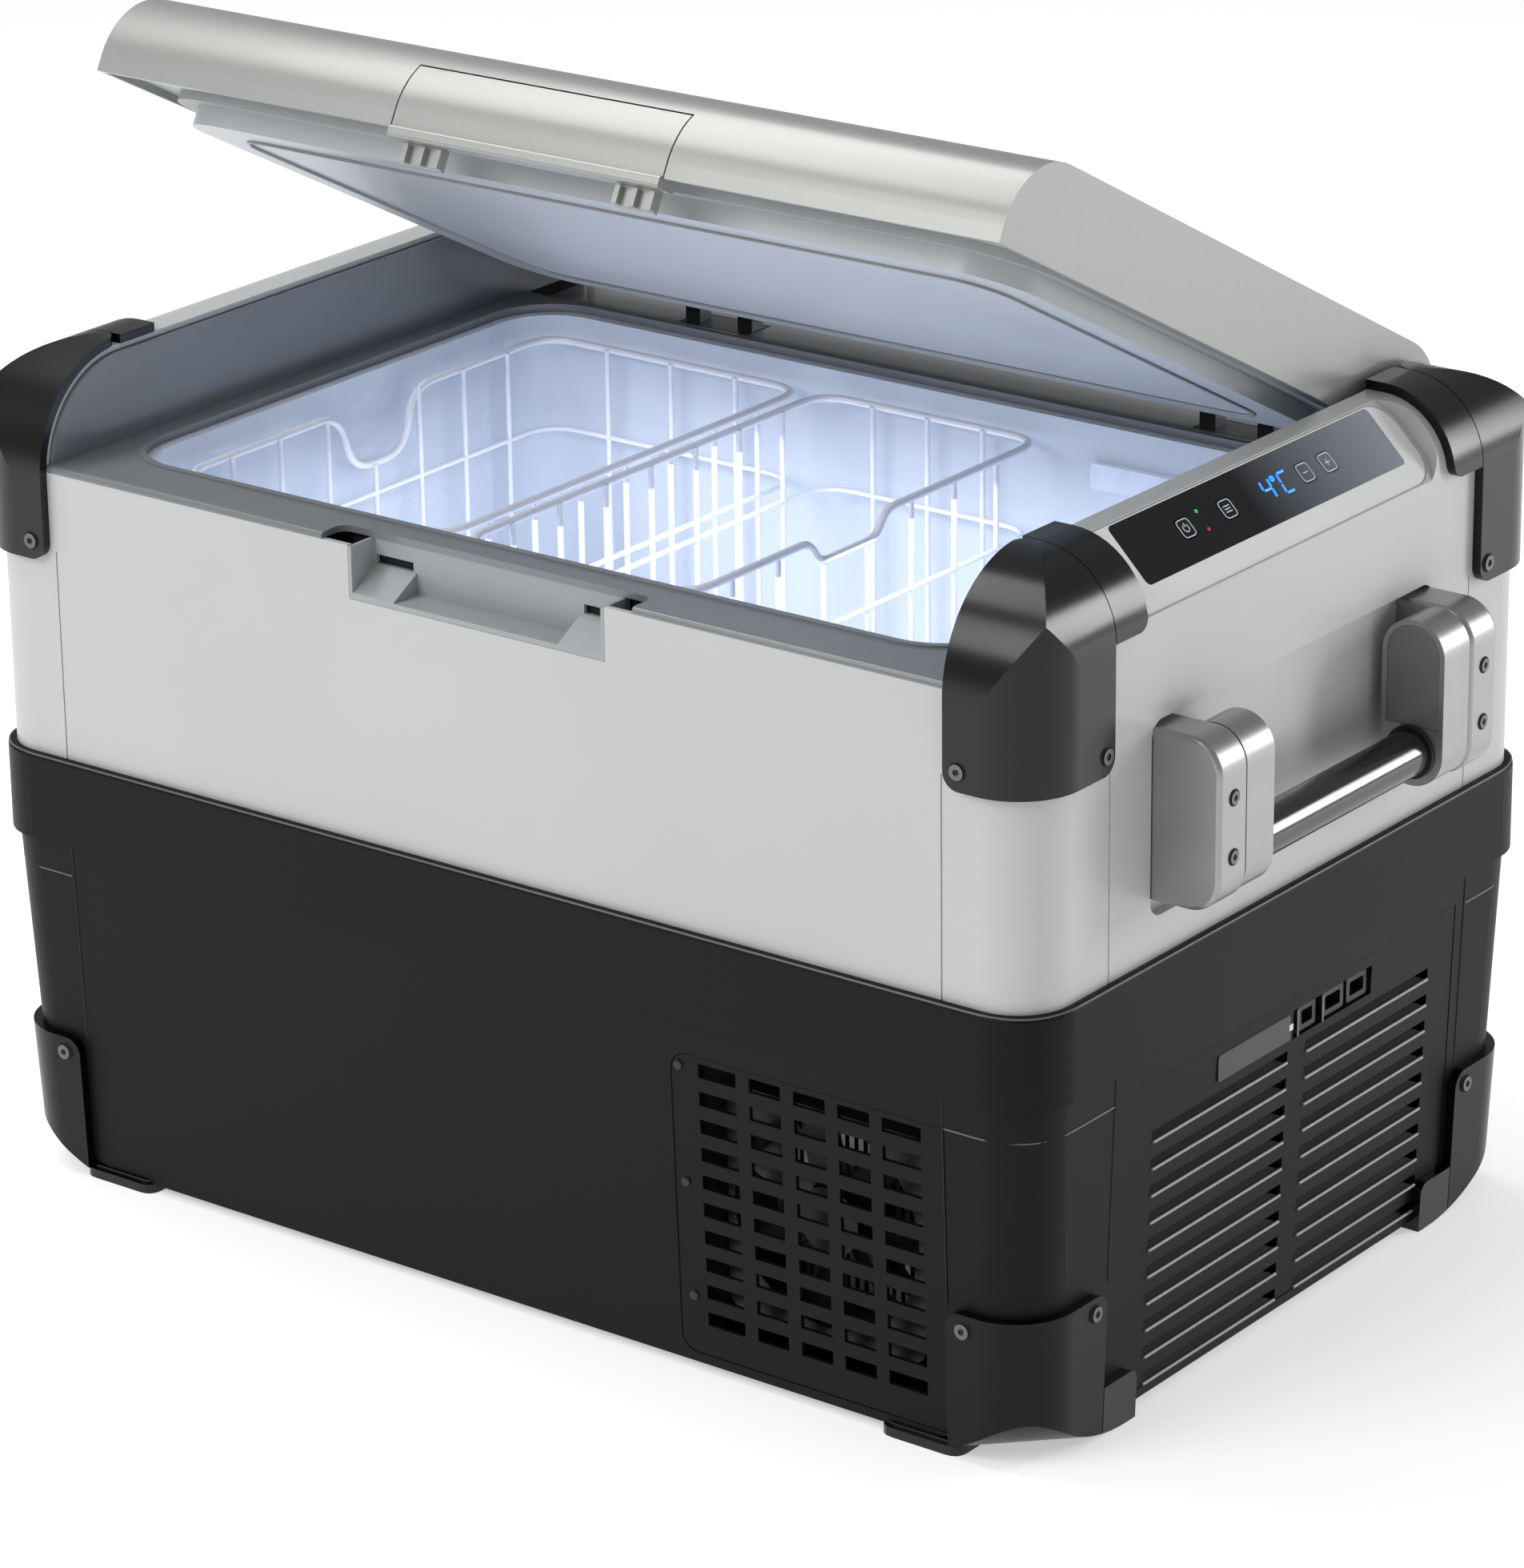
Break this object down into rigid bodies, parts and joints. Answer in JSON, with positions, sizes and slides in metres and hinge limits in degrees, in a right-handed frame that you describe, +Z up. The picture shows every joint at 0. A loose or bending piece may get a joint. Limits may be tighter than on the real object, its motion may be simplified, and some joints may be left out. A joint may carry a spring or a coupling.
{
  "type": "compressor cooler fridge",
  "caption": "Portable compressor cooler box with hinged lid, latch flap, swing handles, lift-out baskets and control panel.",
  "frame": {"origin": "centre of the footprint on the plane the corner guards stand on", "axes": "+Z up, +X along the casing towards the control panel end, -Y is the front with the latch"},
  "size_m": [0.7438, 0.4584, 0.6266],
  "materials": {
    "light_casing": "light grey moulded casing, satin",
    "frame_grey": "mid grey moulded plastic",
    "lid_shell": "pearl grey painted lid",
    "dark_casing": "charcoal moulded plastic, fine grain",
    "guard_black": "black moulded corner guards, satin",
    "liner_white": "smooth white food-safe liner",
    "foam": "dark grey rigid insulating foam",
    "evaporator": "bare aluminium",
    "handle_metal": "satin cast aluminium",
    "handle_inset": "dark grey inset cover",
    "tube_chrome": "dark chrome tube",
    "steel": "zinc plated steel",
    "gasket": "soft black rubber",
    "compressor_black": "black painted steel",
    "copper": "drawn copper",
    "electronics": "coated circuit board",
    "inlet_black": "black plastic socket",
    "display_gloss": "glossy dark window",
    "basket_white": "white coated wire"
  },
  "bodies": {
    "cabinet": {"ac_inlet": "inlet_black", "belt_band": "dark_casing", "compressor": "compressor_black", "compressor_mounts": "gasket", "condenser": "evaporator", "control_bezel": "light_casing", "dc_inlet": "inlet_black", "display_board": "electronics", "display_window": "display_gloss", "evaporator_plate": "evaporator", "fan_frame": "compressor_black", "filter_drier": "copper", "front_vent_grille": "dark_casing", "guard_strips": "guard_black", "guard_toes": "guard_black", "handle_blocks_left": "handle_metal", "handle_blocks_right": "handle_metal", "handle_pins": "steel", "hinge_brackets": "steel", "hinge_pins": "steel", "inner_liner": "liner_white", "insulation_foam": "foam", "interior_light": "liner_white", "latch_keeper": "light_casing", "lower_guard_front_left": "guard_black", "lower_guard_front_right": "guard_black", "lower_guard_rear_left": "guard_black", "lower_guard_rear_right": "guard_black", "lower_shell": "dark_casing", "power_module": "electronics", "refrigerant_lines": "copper", "screws": "steel", "side_vent_panel": "dark_casing", "top_frame": "frame_grey", "upper_guard_front_left": "guard_black", "upper_guard_front_right": "guard_black", "upper_guard_rear_left": "guard_black", "upper_guard_rear_right": "guard_black", "upper_shell": "light_casing", "usb_port": "inlet_black"},
    "lid": {"lid_shell": "lid_shell", "lid_liner": "frame_grey", "lid_foam": "foam", "lid_gasket": "gasket", "latch_pin": "steel", "lid_hinge_leaves": "steel"},
    "latch": {"latch_flap": "lid_shell"},
    "handle_right": {"handle_arms_right": "handle_metal", "handle_covers_right": "handle_inset", "handle_tube_right": "tube_chrome"},
    "handle_left": {"handle_arms_left": "handle_metal", "handle_covers_left": "handle_inset", "handle_tube_left": "tube_chrome"},
    "fan": {"fan_rotor": "compressor_black"},
    "power_key": {"power_button": "display_gloss"},
    "set_key": {"set_button": "display_gloss"},
    "minus_key": {"minus_button": "display_gloss"},
    "plus_key": {"plus_button": "display_gloss"},
    "large_basket": {"basket_large": "basket_white"},
    "small_basket": {"basket_small": "basket_white"}
  },
  "joints": [
    {"name": "lid_hinge", "type": "hinge", "parent": "cabinet", "child": "lid", "pos_m": [0, 0.2, 0.41], "axis": [-1, 0, 0], "range_deg": [-27.7, 62]},
    {"name": "latch_pull", "type": "hinge", "parent": "lid", "child": "latch", "pos_m": [0, -0.15057, 0.6189], "axis": [-1, 0, 0], "range_deg": [0, 15], "stiffness_Nm_per_rad": 1.5, "springref_deg": -20.05},
    {"name": "right_handle_swing", "type": "hinge", "parent": "cabinet", "child": "handle_right", "pos_m": [0.352, 0, 0.34], "axis": [0, -1, 0], "range_deg": [0, 95]},
    {"name": "left_handle_swing", "type": "hinge", "parent": "cabinet", "child": "handle_left", "pos_m": [-0.352, 0, 0.34], "axis": [0, 1, 0], "range_deg": [0, 95]},
    {"name": "fan_spin", "type": "hinge", "parent": "cabinet", "child": "fan", "pos_m": [0.198, -0.19, 0.096], "axis": [0, -1, 0], "continuous": true},
    {"name": "power_press", "type": "slide", "parent": "cabinet", "child": "power_key", "axis": [-0.7071, 0, -0.7071], "range_m": [0, 0.0006], "stiffness_N_per_m": 1500},
    {"name": "set_press", "type": "slide", "parent": "cabinet", "child": "set_key", "axis": [-0.7071, 0, -0.7071], "range_m": [0, 0.0006], "stiffness_N_per_m": 1500},
    {"name": "minus_press", "type": "slide", "parent": "cabinet", "child": "minus_key", "axis": [-0.7071, 0, -0.7071], "range_m": [0, 0.0006], "stiffness_N_per_m": 1500},
    {"name": "plus_press", "type": "slide", "parent": "cabinet", "child": "plus_key", "axis": [-0.7071, 0, -0.7071], "range_m": [0, 0.0006], "stiffness_N_per_m": 1500},
    {"name": "large_basket_lift", "type": "slide", "parent": "cabinet", "child": "large_basket", "axis": [0, 0, 1], "range_m": [0, 0.025]},
    {"name": "small_basket_lift", "type": "slide", "parent": "cabinet", "child": "small_basket", "axis": [0, 0, 1], "range_m": [0, 0.025]}
  ]
}
